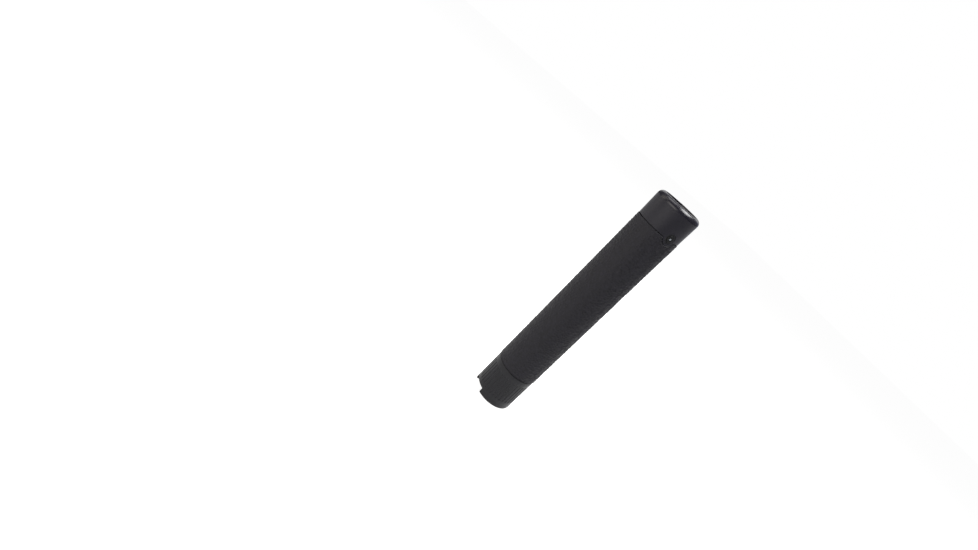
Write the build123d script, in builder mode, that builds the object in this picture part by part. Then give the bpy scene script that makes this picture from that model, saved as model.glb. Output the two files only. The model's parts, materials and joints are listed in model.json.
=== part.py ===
import os
from math import radians, sqrt, tan

from build123d import *

# Rubber-sleeved flashlight for two 26650 cells. Millimetres, +Z from the tail face at z = 0 to the bezel.
# The side switch faces -Y. Every length stands once here, and heights and fits are worked out from them.

# Cells
cell_count = 2
cell_radius = 13.15
cell_length = 65.3
cell_wrap = 0.15
cell_can_wall = 0.25
cell_cap = 1.0
cell_washer = 0.3
cell_fold = 2.5
cell_nub_radius = 5.0
cell_nub_height = 1.2

# Barrel and sleeve
cell_clearance = 0.25
tube_wall = 2.2
sleeve_wall = 1.4
sleeve_edge = 0.5
head_step = 0.35  # the head and the tail cap lie this far under the sleeve's surface
head_flare = 0.25
head_length = 20.5  # sleeve to bezel end, the part that shows in front of the sleeve
head_wall = 2.05
socket_wall = 1.0
seam_gap = 0.35
slide_gap = 0.1  # radial play between pieces that screw together
snug_gap = 0.05  # radial play between pieces that drop into each other
press_gap = 0.1  # free play behind a button

# Tail cap and tail switch
guard_height = 5.2
guard_wall = 6.25
thumb_slot_width = 15.0
thumb_slot_depth = 4.2
lanyard_hole_radius = 1.25
lanyard_hole_height = 2.6
boot_shelf = 1.6
boot_flange = 1.2
boot_seat_step = 2.25
boot_radius = 7.3
boot_skin = 1.0
boot_recess = 1.7  # from the tail face up to the boot's top
boot_play = 0.3
boot_round = 1.6
washer_thickness = 0.8
holder_height = 7.4
holder_play = 0.7
board_thickness = 1.6
tail_board_step = 2.0
tail_spring_length = 8.6
tail_ring_height = 2.0
tail_ring_wall = 3.7
switch_side = 12.0
switch_height = 6.6
plunger_radius = 3.5
plunger_pad_radius = 5.4
plunger_pad = 1.4
plunger_lift = 2.4  # the plunger's reach into the switch at rest
tail_stroke = 2.2
tail_round = 1.3
flute_count = 36
flute_depth = 0.4
flute_radius = 0.9
flute_bottom = 7.5
flute_top = 26.5
spanner_notch = 2.5
coil_corners = 8
coil_bend_share = 0.45
spring_wire = 0.5
spring_play = 1.4
tail_spring_tip = 4.6
tail_spring_turns = 4.5
switch_spring_radius = 2.4
switch_spring_wire = 0.12
switch_spring_turns = 3.5
switch_spring_room = 0.6  # left in the bore when the plunger is home

# Threads and seals between the tube and the tail cap, and between the head and the bezel
tail_thread_length = 7.0
tail_thread_pitch = 1.4
tail_thread_depth = 0.5
tail_thread_step = 0.4
tail_seal_section = 1.05
bezel_thread_pitch = 1.0
bezel_thread_depth = 0.35
thread_half_share = 0.4
thread_proud_share = 0.2
bezel_seal_section = 0.8
seal_land = 0.6
seal_gap = 0.3  # a groove is this much wider than its ring

# Light engine
front_spring_length = 5.4
front_spring_base = 5.2
front_spring_tip = 3.6
front_spring_turns = 3.5
driver_ring_height = 2.2
driver_ring_wall = 3.35
driver_ledge = 1.0
pill_clearance = 0.05
pill_step = 0.6  # the pill is this much wider than the tube's bore
pill_cavity_height = 5.4
pill_wall = 1.55
pill_shelf = 3.2
led_board_radius = 10.0
led_board_thickness = 1.6
led_side = 5.0
led_base_height = 0.7
phosphor_side = 3.5
phosphor_height = 0.2
led_dome_radius = 2.4
led_dome_height = 2.0
centring_ring_lip = 0.85
centring_ring_height = 1.4
reflector_depth = 18.0
reflector_wall = 0.9
reflector_rim = 1.2
reflector_rim_gap = 0.2
led_screw_radius = 0.95
led_screw_head_radius = 1.9
led_screw_head = 1.1
led_screw_length = 3.0
led_screw_offset = 7.6
lead_radius = 0.5
lead_offset = 8.6
lead_pad_offset = 6.7
lead_rise = 0.9
lead_bend = 0.8
lead_hole_gap = 0.3

# Bezel and lens
lens_thickness = 2.0
lens_seal = 0.6
reflector_margin = 0.8
bezel_round = 3.8
bezel_lip = 0.9
bezel_lip_overlap = 1.1
bezel_skirt_wall = 1.3
bezel_skirt_length = 6.2

# Side switch, in a round pocket across the head's wall
side_height = 1.2  # pocket centre above the sleeve's end
side_flange_radius = 3.7
side_flange = 0.4
side_housing_radius = 3.0
side_housing_wall = 0.45
side_floor = 0.4
side_board = 0.5
side_switch_side = 3.0
side_switch_height = 1.3
side_switch_floor = 0.3
side_stem_radius = 0.7
side_plunger_radius = 1.6
side_plunger_head = 0.5
side_boot_radius = 2.4
side_boot_flange = 0.4
side_boot_skin = 0.6
side_boot_rise = 0.6  # the boot's top above the ring
side_ring_height = 0.45
side_travel = 0.6
indicator_radius = 0.65
tongue_margin = 1.2
flex_width = 3.0
flex_thickness = 0.3

# Parts on the driver board: places, and sizes in the board's plane
inductor_place = (-2.6, 3.0)
inductor_radius = 3.1
inductor_height = 3.0
chip_places = ((3.4, 4.0), (3.2, -2.6))
chip_side = 4.2
chip_height = 1.5
capacitor_places = ((-3.4, -4.6), (-0.6, -5.4))
capacitor_width = 1.6
capacitor_length = 3.2
capacitor_height = 1.8

# Radii
bore_radius = cell_radius + cell_clearance
tube_radius = bore_radius + tube_wall
sleeve_radius = tube_radius + sleeve_wall
head_base_radius = sleeve_radius - head_step
head_rim_radius = head_base_radius + head_flare
head_bore = head_base_radius - head_wall
pill_bore = bore_radius + pill_step
pill_radius = pill_bore - pill_clearance
driver_bore = pill_radius - pill_wall
driver_board_radius = driver_bore - slide_gap
pill_cavity_radius = driver_bore - driver_ledge
bezel_socket = head_rim_radius - socket_wall
bezel_skirt_radius = bezel_socket - slide_gap
bezel_bore = bezel_skirt_radius - bezel_skirt_wall
lens_radius = bezel_bore - lens_seal
reflector_opening = lens_radius - reflector_margin
bezel_groove_radius = bezel_socket - snug_gap - bezel_seal_section
tail_cap_radius = sleeve_radius - head_step
tail_thread_radius = tube_radius - tail_thread_step
tail_cap_bore = tail_thread_radius + slide_gap
tail_groove_radius = tail_cap_bore - snug_gap - tail_seal_section
board_chamber = tail_cap_bore - tail_board_step
tail_board_radius = board_chamber - slide_gap
tail_ring_bore = tail_board_radius - tail_ring_wall
tail_spring_base = tail_ring_bore - spring_play - spring_wire
boot_chamber = board_chamber - boot_seat_step
boot_flange_radius = boot_chamber - snug_gap
boot_hole = boot_radius + boot_play
holder_bore = switch_side / sqrt(2) + holder_play
guard_recess_radius = tail_cap_radius - guard_wall

# Heights
boot_z = guard_height + boot_shelf
washer_z = boot_z + boot_flange
holder_z = washer_z + washer_thickness
tail_board_z = holder_z + holder_height
tail_contact_z = tail_board_z + board_thickness
switch_z = tail_board_z - switch_height
pad_z = boot_recess + boot_skin + press_gap
plunger_top = switch_z + plunger_lift
switch_bore_top = plunger_top + tail_stroke + switch_spring_room
tube_end_z = tail_contact_z + tail_ring_height + seal_land
tail_thread_z = tube_end_z + seal_land
tail_thread_top = tail_thread_z + tail_thread_length
tail_groove_z = tail_thread_top + seal_land
tail_groove_top = tail_groove_z + tail_seal_section + seal_gap
tail_cap_length = tail_groove_top + seal_land + seal_land
sleeve_z = tail_cap_length + seam_gap
cell_z = tail_contact_z + tail_spring_length
cell_top_z = cell_z + cell_count * cell_length
driver_z = cell_top_z + front_spring_length
driver_top_z = driver_z + board_thickness
pill_z = driver_z - driver_ring_height
pill_shelf_z = driver_top_z + pill_cavity_height
led_board_z = pill_shelf_z + pill_shelf
led_z = led_board_z + led_board_thickness
phosphor_z = led_z + led_base_height
die_z = phosphor_z + phosphor_height
reflector_z = led_z + centring_ring_height
reflector_focus = (sqrt(reflector_depth**2 + reflector_opening**2) - reflector_depth) / 2
reflector_vertex_z = die_z - reflector_focus
reflector_foot_radius = 2 * sqrt(reflector_focus * (reflector_z - reflector_vertex_z))
lens_z = die_z + reflector_depth
lip_z = lens_z + lens_thickness
head_end_z = lip_z + bezel_lip
bezel_z = head_end_z - bezel_round
bezel_skirt_z = bezel_z - bezel_skirt_length
bezel_groove_top = bezel_z - seal_land
bezel_groove_z = bezel_groove_top - bezel_seal_section - seal_gap
bezel_thread_top = bezel_groove_z - seal_land
shoulder_z = head_end_z - head_length
side_z = shoulder_z + side_height

# Side switch, as distances from the light's axis
side_pocket_radius = side_flange_radius + snug_gap
side_rim = sqrt(head_base_radius**2 - side_pocket_radius**2)
side_ring_seat = side_rim - side_ring_height
side_boot_seat = side_ring_seat - side_boot_flange
side_seat = side_boot_seat - side_flange
side_boot_top = side_rim + side_boot_rise
side_head_top = side_boot_top - side_boot_skin - press_gap
side_head_seat = side_head_top - side_plunger_head
side_switch_top = side_head_seat - side_travel - press_gap
side_switch_seat = side_switch_top - side_switch_height
side_board_seat = side_switch_seat - side_board
side_end = side_board_seat - side_floor

# Directions and planes
side_plane = Plane(origin=(0, 0, side_z), x_dir=(1, 0, 0), z_dir=(0, -1, 0))


def outline(*points):
    """A closed outline of (radius, height) points, to be turned about Z."""
    with BuildSketch(Plane.XZ) as profile:
        with BuildLine():
            Polyline(*points, close=True)
        make_face()
    return profile.sketch


def band(inner, outer, bottom, top):
    """The outline of a plain ring."""
    return outline((inner, bottom), (outer, bottom), (outer, top), (inner, top))


def grooves(radius, depth, pitch, bottom, top):
    """The outlines of V grooves that stand for a thread; a negative depth cuts outwards, into a bore."""
    count = max(1, int((top - bottom) / pitch))
    half = thread_half_share * pitch
    proud = radius + thread_proud_share * depth
    faces = []
    for turn in range(count):
        middle = bottom + (turn + 0.5) * (top - bottom) / count
        groove = outline((proud, middle - half), (radius - depth, middle), (proud, middle + half))
        faces += groove.faces()
    return faces


def coil(bottom, top, bottom_radius, top_radius, turns, wire):
    """A wire wound from one height to the other, straight or tapering, as runs joined by arcs."""
    low, high = bottom + wire, top - wire
    steps = round(turns * coil_corners)
    points = []
    for step in range(steps + 1):
        share = step / steps
        reach = bottom_radius + (top_radius - bottom_radius) * share
        points.append(Vector(reach, 0, low + (high - low) * share).rotate(Axis.Z, 360 * turns * share))
    radii = []
    for before, corner, after in zip(points, points[1:], points[2:]):
        arriving, leaving = corner - before, after - corner
        half_turn = radians(arriving.get_angle(leaving)) / 2
        radii.append(coil_bend_share * min(arriving.length, leaving.length) / tan(half_turn))
    with BuildPart() as spring:
        with BuildLine() as path:
            FilletPolyline(*points, radius=radii)
        with BuildSketch(Plane(origin=path.line @ 0, z_dir=path.line % 0)):
            Circle(wire)
        sweep(path=path.wires()[0])
    return spring


def keep(builder, label):
    """Labels a finished piece and writes it."""
    builder.part.label = label
    export_step(builder.part, f"parts/{label}.step")


os.makedirs("parts", exist_ok=True)

# Tongue of the barrel that carries the switch pocket and reaches down into the sleeve's notch
with BuildPart() as tongue:
    tongue_radius = side_flange_radius + tongue_margin
    with BuildSketch(side_plane):
        Circle(tongue_radius)
    extrude(amount=sleeve_radius)
    with BuildSketch(Plane.XY.offset(side_z - tongue_radius)):
        Circle(head_base_radius)
    extrude(amount=2 * tongue_radius, mode=Mode.INTERSECT)
    with BuildSketch(Plane.XY.offset(side_z - tongue_radius)):
        Circle(tube_radius - snug_gap)
    extrude(amount=2 * tongue_radius, mode=Mode.SUBTRACT)

# Barrel: battery tube and head in one turned piece, open at both ends
with BuildPart() as barrel:
    revolve(
        outline(
            (bore_radius, tube_end_z),
            (tail_thread_radius, tube_end_z),
            (tail_thread_radius, sleeve_z),
            (tube_radius, sleeve_z),
            (tube_radius, shoulder_z),
            (head_base_radius, shoulder_z),
            (head_rim_radius, bezel_z),
            (bezel_socket, bezel_z),
            (bezel_socket, bezel_skirt_z - seal_land),
            (head_bore, bezel_skirt_z - seal_land),
            (head_bore, led_board_z),
            (pill_bore, led_board_z),
            (pill_bore, pill_z),
            (bore_radius, pill_z),
        ),
        axis=Axis.Z,
    )
    circles = barrel.edges().filter_by(GeomType.CIRCLE)
    chamfer(circles.group_by(Axis.Z)[0], length=seam_gap)
    fillet(circles.filter_by(lambda edge: abs(edge.radius - head_base_radius) < snug_gap), radius=seam_gap)
    add(tongue.part)
    with BuildSketch(side_plane.offset(side_seat)):
        Circle(side_pocket_radius)
    extrude(amount=sleeve_radius - side_seat, mode=Mode.SUBTRACT)
    with BuildSketch(side_plane.offset(side_end)):
        Circle(side_housing_radius + snug_gap)
    extrude(amount=sleeve_radius - side_end, mode=Mode.SUBTRACT)
    revolve(
        grooves(bezel_socket, -bezel_thread_depth, bezel_thread_pitch, bezel_skirt_z, bezel_thread_top),
        axis=Axis.Z,
        mode=Mode.SUBTRACT,
    )
    revolve(
        grooves(tail_thread_radius, tail_thread_depth, tail_thread_pitch, tail_thread_z, tail_thread_top),
        axis=Axis.Z,
        mode=Mode.SUBTRACT,
    )
    revolve(
        band(tail_groove_radius, tube_radius, tail_groove_z, tail_groove_top),
        axis=Axis.Z,
        mode=Mode.SUBTRACT,
    )
keep(barrel, "barrel")

# Grip sleeve: a moulded rubber tube with a notch round the barrel's tongue
with BuildPart() as grip_sleeve:
    sleeve_top = shoulder_z - seam_gap
    revolve(band(tube_radius + snug_gap, sleeve_radius, sleeve_z, sleeve_top), axis=Axis.Z)
    circles = grip_sleeve.edges().filter_by(GeomType.CIRCLE)
    fillet(circles.filter_by(lambda edge: edge.radius > sleeve_radius - snug_gap), radius=sleeve_edge)
    with BuildSketch(side_plane):
        Circle(side_flange_radius + tongue_margin + seam_gap)
    extrude(amount=2 * sleeve_radius, mode=Mode.SUBTRACT)
keep(grip_sleeve, "grip_sleeve")

# Bezel ring: rounded outside, a lip over the lens, a skirt that screws into the head
with BuildPart() as bezel_ring:
    opening = lens_radius - bezel_lip_overlap
    with BuildSketch(Plane.XZ) as bezel_profile:
        with BuildLine():
            Polyline(
                (head_rim_radius, bezel_z),
                (bezel_skirt_radius, bezel_z),
                (bezel_skirt_radius, bezel_skirt_z),
                (bezel_bore, bezel_skirt_z),
                (bezel_bore, lip_z),
                (opening, lip_z),
                (opening, head_end_z),
                (head_rim_radius - bezel_round, head_end_z),
            )
            RadiusArc((head_rim_radius - bezel_round, head_end_z), (head_rim_radius, bezel_z), bezel_round)
        make_face()
    revolve(axis=Axis.Z)
    revolve(
        grooves(bezel_skirt_radius, bezel_thread_depth, bezel_thread_pitch, bezel_skirt_z, bezel_thread_top),
        axis=Axis.Z,
        mode=Mode.SUBTRACT,
    )
    revolve(
        band(bezel_groove_radius, bezel_skirt_radius, bezel_groove_z, bezel_groove_top),
        axis=Axis.Z,
        mode=Mode.SUBTRACT,
    )
keep(bezel_ring, "bezel_ring")

# Front lens and the seal round its edge
with BuildPart() as front_lens:
    with BuildSketch(Plane.XY.offset(lens_z)):
        Circle(lens_radius)
    extrude(amount=lens_thickness)
    chamfer(front_lens.edges(), length=snug_gap)
keep(front_lens, "front_lens")

with BuildPart() as lens_seal_ring:
    revolve(band(lens_radius + snug_gap, bezel_bore - snug_gap, lens_z, lip_z), axis=Axis.Z)
keep(lens_seal_ring, "lens_seal")

# Reflector: a parabola with its focus on the LED's phosphor, and a rim under the lens
with BuildPart() as reflector:
    inner_curve = []
    outer_curve = []
    curve_steps = 8
    for step in range(curve_steps + 1):
        height = reflector_z + (lens_z - reflector_z) * (step / curve_steps) ** 2
        reach = 2 * sqrt(reflector_focus * (height - reflector_vertex_z))
        inner_curve.append((reach, height))
    rim_z = lens_z - reflector_rim
    for step in range(curve_steps + 1):
        height = reflector_z + (rim_z - reflector_z) * (step / curve_steps) ** 2
        reach = 2 * sqrt(reflector_focus * (height - reflector_vertex_z)) + reflector_wall
        outer_curve.append((reach, height))
    with BuildSketch(Plane.XZ):
        with BuildLine():
            Spline(*inner_curve)
            Polyline(
                inner_curve[-1],
                (bezel_bore - reflector_rim_gap, lens_z),
                (bezel_bore - reflector_rim_gap, rim_z),
                outer_curve[-1],
            )
            Spline(*reversed(outer_curve))
            Line(outer_curve[0], inner_curve[0])
        make_face()
    revolve(axis=Axis.Z)
keep(reflector, "reflector")

# LED on its copper board: ceramic base, phosphor, silicone dome
with BuildPart() as led_base:
    with BuildSketch(Plane.XY.offset(led_z)):
        Rectangle(led_side, led_side)
    extrude(amount=led_base_height)
keep(led_base, "led_base")

with BuildPart() as led_phosphor:
    with BuildSketch(Plane.XY.offset(phosphor_z)):
        Rectangle(phosphor_side, phosphor_side)
    extrude(amount=phosphor_height)
keep(led_phosphor, "led_phosphor")

with BuildPart() as led_dome:
    with BuildSketch(Plane.XZ):
        with BuildLine():
            EllipticalCenterArc((0, phosphor_z), led_dome_radius, led_dome_height, start_angle=0, arc_size=90)
            Polyline((0, phosphor_z + led_dome_height), (0, phosphor_z), (led_dome_radius, phosphor_z))
        make_face()
    revolve(axis=Axis.Z)
    with BuildSketch(Plane.XY.offset(phosphor_z)):
        Rectangle(phosphor_side, phosphor_side)
    extrude(amount=phosphor_height, mode=Mode.SUBTRACT)
keep(led_dome, "led_dome")

with BuildPart() as led_board:
    with BuildSketch(Plane.XY.offset(led_board_z)):
        Circle(led_board_radius)
        with PolarLocations(lead_offset, 2):
            Circle(lead_radius + lead_hole_gap, mode=Mode.SUBTRACT)
        with PolarLocations(led_screw_offset, 2, start_angle=90):
            Circle(led_screw_radius + snug_gap, mode=Mode.SUBTRACT)
    extrude(amount=led_board_thickness)
keep(led_board, "led_board")

with BuildPart() as led_board_screws:
    with BuildSketch(Plane.XY.offset(led_z)):
        with PolarLocations(led_screw_offset, 2, start_angle=90):
            Circle(led_screw_head_radius)
    extrude(amount=led_screw_head)
    with BuildSketch(Plane.XY.offset(led_z)):
        with PolarLocations(led_screw_offset, 2, start_angle=90):
            Circle(led_screw_radius)
    extrude(amount=-led_board_thickness - led_screw_length)
    with BuildSketch(Plane.XY.offset(led_z + led_screw_head)):
        with PolarLocations(led_screw_offset, 2, start_angle=90):
            Rectangle(2 * led_screw_radius, led_screw_radius / 2)
            Rectangle(led_screw_radius / 2, 2 * led_screw_radius)
    extrude(amount=-led_screw_head / 2, mode=Mode.SUBTRACT)
keep(led_board_screws, "led_board_screws")

with BuildPart() as led_centring_ring:
    hole = led_side * sqrt(2) / 2 + press_gap
    ring_radius = reflector_foot_radius + centring_ring_lip
    revolve(band(hole, ring_radius, led_z, reflector_z), axis=Axis.Z)
keep(led_centring_ring, "led_centring_ring")

# Leads from the driver, through the pill's shelf, to the pads beside the LED
for side, label in ((1, "led_lead_positive"), (-1, "led_lead_negative")):
    with BuildPart() as led_lead:
        with BuildLine() as route:
            FilletPolyline(
                (side * lead_offset, 0, driver_top_z),
                (side * lead_offset, 0, led_z + lead_rise),
                (side * lead_pad_offset, 0, led_z + lead_rise),
                (side * lead_pad_offset, 0, led_z),
                radius=lead_bend,
            )
        with BuildSketch(Plane(origin=route.line @ 0, z_dir=(0, 0, 1))):
            Circle(lead_radius)
        sweep(path=route.line)
    keep(led_lead, label)

# Pill: the LED's heat sink, with the driver in its lower cavity
with BuildPart() as led_pill:
    revolve(
        outline(
            (driver_bore, pill_z),
            (pill_radius, pill_z),
            (pill_radius, led_board_z),
            (0, led_board_z),
            (0, pill_shelf_z),
            (pill_cavity_radius, pill_shelf_z),
            (pill_cavity_radius, driver_top_z),
            (driver_bore, driver_top_z),
        ),
        axis=Axis.Z,
    )
    with BuildSketch(Plane.XY.offset(pill_shelf_z)):
        with PolarLocations(lead_offset, 2):
            Circle(lead_radius + lead_hole_gap)
        with PolarLocations(led_screw_offset, 2, start_angle=90):
            Circle(led_screw_radius + snug_gap)
    extrude(amount=pill_shelf, mode=Mode.SUBTRACT)
    with BuildSketch(Plane.XY.offset(driver_top_z)):
        with Locations((0, -pill_radius)):
            slot_depth = 2 * (pill_radius - pill_cavity_radius + flex_thickness)
            Rectangle(flex_width + 2 * press_gap, slot_depth)
    extrude(amount=led_board_z - driver_top_z, mode=Mode.SUBTRACT)
keep(led_pill, "led_pill")

# Driver: board, the parts on it, the spring to the front cell, and the ring that holds the board
with BuildPart() as driver_board:
    with BuildSketch(Plane.XY.offset(driver_z)):
        Circle(driver_board_radius)
    extrude(amount=board_thickness)
keep(driver_board, "driver_board")

with BuildPart() as driver_components:
    with BuildSketch(Plane.XY.offset(driver_top_z)):
        with Locations(inductor_place):
            Circle(inductor_radius)
    extrude(amount=inductor_height)
    with BuildSketch(Plane.XY.offset(driver_top_z)):
        with Locations(*chip_places):
            Rectangle(chip_side, chip_side)
    extrude(amount=chip_height)
    with BuildSketch(Plane.XY.offset(driver_top_z)):
        with Locations(*capacitor_places):
            Rectangle(capacitor_width, capacitor_length)
    extrude(amount=capacitor_height)
keep(driver_components, "driver_components")

driver_spring = coil(
    cell_top_z + cell_wrap, driver_z, front_spring_tip, front_spring_base, front_spring_turns, spring_wire
)
keep(driver_spring, "driver_spring")

with BuildPart() as driver_retaining_ring:
    revolve(band(driver_board_radius - driver_ring_wall, driver_board_radius, pill_z, driver_z), axis=Axis.Z)
    with BuildSketch(Plane.XY.offset(pill_z)):
        with PolarLocations(driver_board_radius, 2):
            Rectangle(driver_ring_wall, spanner_notch)
    extrude(amount=driver_ring_height / 2, mode=Mode.SUBTRACT)
keep(driver_retaining_ring, "driver_retaining_ring")

# Cells: steel can, wound electrodes, cap with the raised contact, insulating washer, shrunk wrap
for place, name in enumerate(("rear_cell", "front_cell")[:cell_count]):
    foot = cell_z + place * cell_length
    can_foot = foot + cell_wrap
    can_top = foot + cell_length - cell_nub_height
    can_radius = cell_radius - cell_wrap
    can_bore = can_radius - cell_can_wall
    cap_seat = can_top - cell_cap
    with BuildPart() as cell_can:
        revolve(
            outline(
                (0, can_foot),
                (can_radius, can_foot),
                (can_radius, can_top),
                (can_bore, can_top),
                (can_bore, can_foot + cell_can_wall),
                (0, can_foot + cell_can_wall),
            ),
            axis=Axis.Z,
        )
    keep(cell_can, f"{name}_can")

    with BuildPart() as cell_roll:
        with BuildSketch(Plane.XY.offset(can_foot + cell_can_wall)):
            Circle(can_bore - slide_gap)
        extrude(amount=cap_seat - seal_land - can_foot - cell_can_wall)
    keep(cell_roll, f"{name}_roll")

    with BuildPart() as cell_top:
        with BuildSketch(Plane.XY.offset(cap_seat)):
            Circle(can_bore - snug_gap)
        extrude(amount=cell_cap)
        with BuildSketch(Plane.XY.offset(can_top)):
            Circle(cell_nub_radius)
        extrude(amount=cell_nub_height + cell_wrap)
    keep(cell_top, f"{name}_cap")

    with BuildPart() as cell_washer_ring:
        washer_outer = can_radius - cell_fold
        revolve(band(cell_nub_radius + press_gap, washer_outer, can_top, can_top + cell_washer), axis=Axis.Z)
    keep(cell_washer_ring, f"{name}_washer")

    with BuildPart() as cell_sleeve:
        revolve(
            outline(
                (can_radius - cell_fold, foot),
                (cell_radius, foot),
                (cell_radius, can_top + cell_wrap),
                (can_radius - cell_fold, can_top + cell_wrap),
                (can_radius - cell_fold, can_top),
                (can_radius, can_top),
                (can_radius, foot + cell_wrap),
                (can_radius - cell_fold, foot + cell_wrap),
            ),
            axis=Axis.Z,
        )
    keep(cell_sleeve, f"{name}_wrap")

# Side switch: housing, board, switch, plunger with its light window, rubber boot, ring and ribbon
with BuildPart() as side_switch_housing:
    with BuildSketch(side_plane.offset(side_end)):
        Circle(side_housing_radius)
    extrude(amount=side_seat - side_end)
    with BuildSketch(side_plane.offset(side_seat)):
        Circle(side_flange_radius)
    extrude(amount=side_flange)
    with BuildSketch(side_plane.offset(side_board_seat)):
        Circle(side_housing_radius - side_housing_wall)
    extrude(amount=side_boot_seat - side_board_seat, mode=Mode.SUBTRACT)
keep(side_switch_housing, "side_switch_housing")

with BuildPart() as side_switch_board:
    with BuildSketch(side_plane.offset(side_board_seat)):
        Circle(side_housing_radius - side_housing_wall - snug_gap)
    extrude(amount=side_board)
keep(side_switch_board, "side_switch_board")

with BuildPart() as side_tact_switch:
    with BuildSketch(side_plane.offset(side_switch_seat)):
        Rectangle(side_switch_side, side_switch_side)
    extrude(amount=side_switch_height)
    with BuildSketch(side_plane.offset(side_switch_seat + side_switch_floor)):
        Circle(side_stem_radius + press_gap)
    extrude(amount=side_switch_height, mode=Mode.SUBTRACT)
keep(side_tact_switch, "side_tact_switch")

with BuildPart() as side_plunger:
    stem_end = side_switch_seat + side_switch_floor + side_travel + press_gap
    with BuildSketch(side_plane.offset(stem_end)):
        Circle(side_stem_radius)
    extrude(amount=side_head_seat - stem_end)
    with BuildSketch(side_plane.offset(side_head_seat)):
        Circle(side_plunger_radius)
    extrude(amount=side_plunger_head)
keep(side_plunger, "side_plunger")

with BuildPart() as indicator_window:
    with BuildSketch(side_plane.offset(side_head_top)):
        Circle(indicator_radius)
    extrude(amount=side_boot_top - side_head_top)
keep(indicator_window, "indicator_window")

with BuildPart() as side_boot:
    with BuildSketch(side_plane.offset(side_boot_seat)):
        Circle(side_flange_radius)
    extrude(amount=side_boot_flange)
    with BuildSketch(side_plane.offset(side_ring_seat)):
        Circle(side_boot_radius)
    extrude(amount=side_boot_top - side_ring_seat)
    fillet(side_boot.faces().sort_by(Axis.Y)[0].outer_wire().edges(), radius=side_boot_rise)
    with BuildSketch(side_plane.offset(side_boot_seat)):
        Circle(side_boot_radius - side_boot_skin)
    extrude(amount=side_boot_top - side_boot_skin - side_boot_seat, mode=Mode.SUBTRACT)
    with BuildSketch(side_plane.offset(side_boot_seat)):
        Circle(indicator_radius + snug_gap)
    extrude(amount=side_boot_top - side_boot_seat, mode=Mode.SUBTRACT)
keep(side_boot, "side_boot")

with BuildPart() as side_switch_ring:
    with BuildSketch(side_plane.offset(side_ring_seat)):
        Circle(side_flange_radius)
        Circle(side_boot_radius + press_gap, mode=Mode.SUBTRACT)
    extrude(amount=side_ring_height)
    chamfer(side_switch_ring.faces().sort_by(Axis.Y)[0].inner_wires()[0].edges(), length=press_gap)
keep(side_switch_ring, "side_switch_ring")

with BuildPart() as switch_flex:
    flex_face = pill_cavity_radius + flex_thickness
    with BuildSketch(Plane.YZ):
        with BuildLine():
            Polyline(
                (-flex_face, driver_top_z),
                (-flex_face - flex_thickness, driver_top_z),
                (-flex_face - flex_thickness, side_z - flex_thickness),
                (-side_end, side_z - flex_thickness),
                (-side_end, side_z),
                (-flex_face, side_z),
                close=True,
            )
        make_face()
    extrude(amount=flex_width / 2, both=True)
keep(switch_flex, "switch_flex")

# Tail cap: two guards round the boot, flutes, and the bore that screws over the tube
with BuildPart() as tail_cap:
    revolve(
        outline(
            (guard_recess_radius, 0),
            (tail_cap_radius, 0),
            (tail_cap_radius, tail_cap_length),
            (tail_cap_bore, tail_cap_length),
            (tail_cap_bore, tube_end_z - seal_land),
            (board_chamber, tube_end_z - seal_land),
            (board_chamber, tail_board_z),
            (boot_chamber, tail_board_z),
            (boot_chamber, boot_z),
            (boot_hole, boot_z),
            (boot_hole, guard_height),
            (guard_recess_radius, guard_height),
        ),
        axis=Axis.Z,
    )
    outer_rims = tail_cap.edges().filter_by(GeomType.CIRCLE).filter_by(
        lambda edge: abs(edge.radius - tail_cap_radius) < snug_gap
    )
    fillet(outer_rims.sort_by(Axis.Z)[0], radius=tail_round)
    chamfer(outer_rims.sort_by(Axis.Z)[-1], length=seam_gap)
    with BuildSketch(Plane.XY):
        Rectangle(2 * tail_cap_radius, thumb_slot_width)
    extrude(amount=thumb_slot_depth, mode=Mode.SUBTRACT)
    with BuildSketch(Plane(origin=(0, guard_recess_radius, lanyard_hole_height), z_dir=(0, 1, 0))):
        Circle(lanyard_hole_radius)
    extrude(amount=tail_cap_radius, both=True, mode=Mode.SUBTRACT)
    with BuildSketch(Plane.XY.offset(flute_bottom)):
        with PolarLocations(tail_cap_radius + flute_radius - flute_depth, flute_count):
            Circle(flute_radius)
    extrude(amount=flute_top - flute_bottom, mode=Mode.SUBTRACT)
    revolve(
        grooves(tail_cap_bore, -tail_thread_depth, tail_thread_pitch, tail_thread_z, tail_thread_top),
        axis=Axis.Z,
        mode=Mode.SUBTRACT,
    )
keep(tail_cap, "tail_cap")

# Seals in their grooves
for label, groove_radius, section, middle in (
    ("tail_o_ring", tail_groove_radius, tail_seal_section, (tail_groove_z + tail_groove_top) / 2),
    ("bezel_o_ring", bezel_groove_radius, bezel_seal_section, (bezel_groove_z + bezel_groove_top) / 2),
):
    with BuildPart() as seal:
        with BuildSketch(Plane.XZ):
            with Locations((groove_radius + snug_gap / 2 + section / 2, middle)):
                Circle(section / 2)
        revolve(axis=Axis.Z)
    keep(seal, label)

# Tail switch: boot, washer, holder, switch with its plunger and spring, board, ring and contact spring
with BuildPart() as tail_boot:
    revolve(
        outline(
            (0, boot_recess),
            (boot_radius, boot_recess),
            (boot_radius, boot_z),
            (boot_flange_radius, boot_z),
            (boot_flange_radius, washer_z),
            (boot_radius - boot_skin, washer_z),
            (boot_radius - boot_skin, boot_recess + boot_skin),
            (0, boot_recess + boot_skin),
        ),
        axis=Axis.Z,
    )
    fillet(tail_boot.edges().filter_by(GeomType.CIRCLE).sort_by(Axis.Z)[0], radius=boot_round)
keep(tail_boot, "tail_boot")

with BuildPart() as boot_washer:
    revolve(band(boot_radius - boot_skin, boot_flange_radius, washer_z, holder_z), axis=Axis.Z)
keep(boot_washer, "boot_washer")

with BuildPart() as tail_switch_holder:
    revolve(band(holder_bore, boot_flange_radius, holder_z, tail_board_z), axis=Axis.Z)
keep(tail_switch_holder, "tail_switch_holder")

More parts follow.
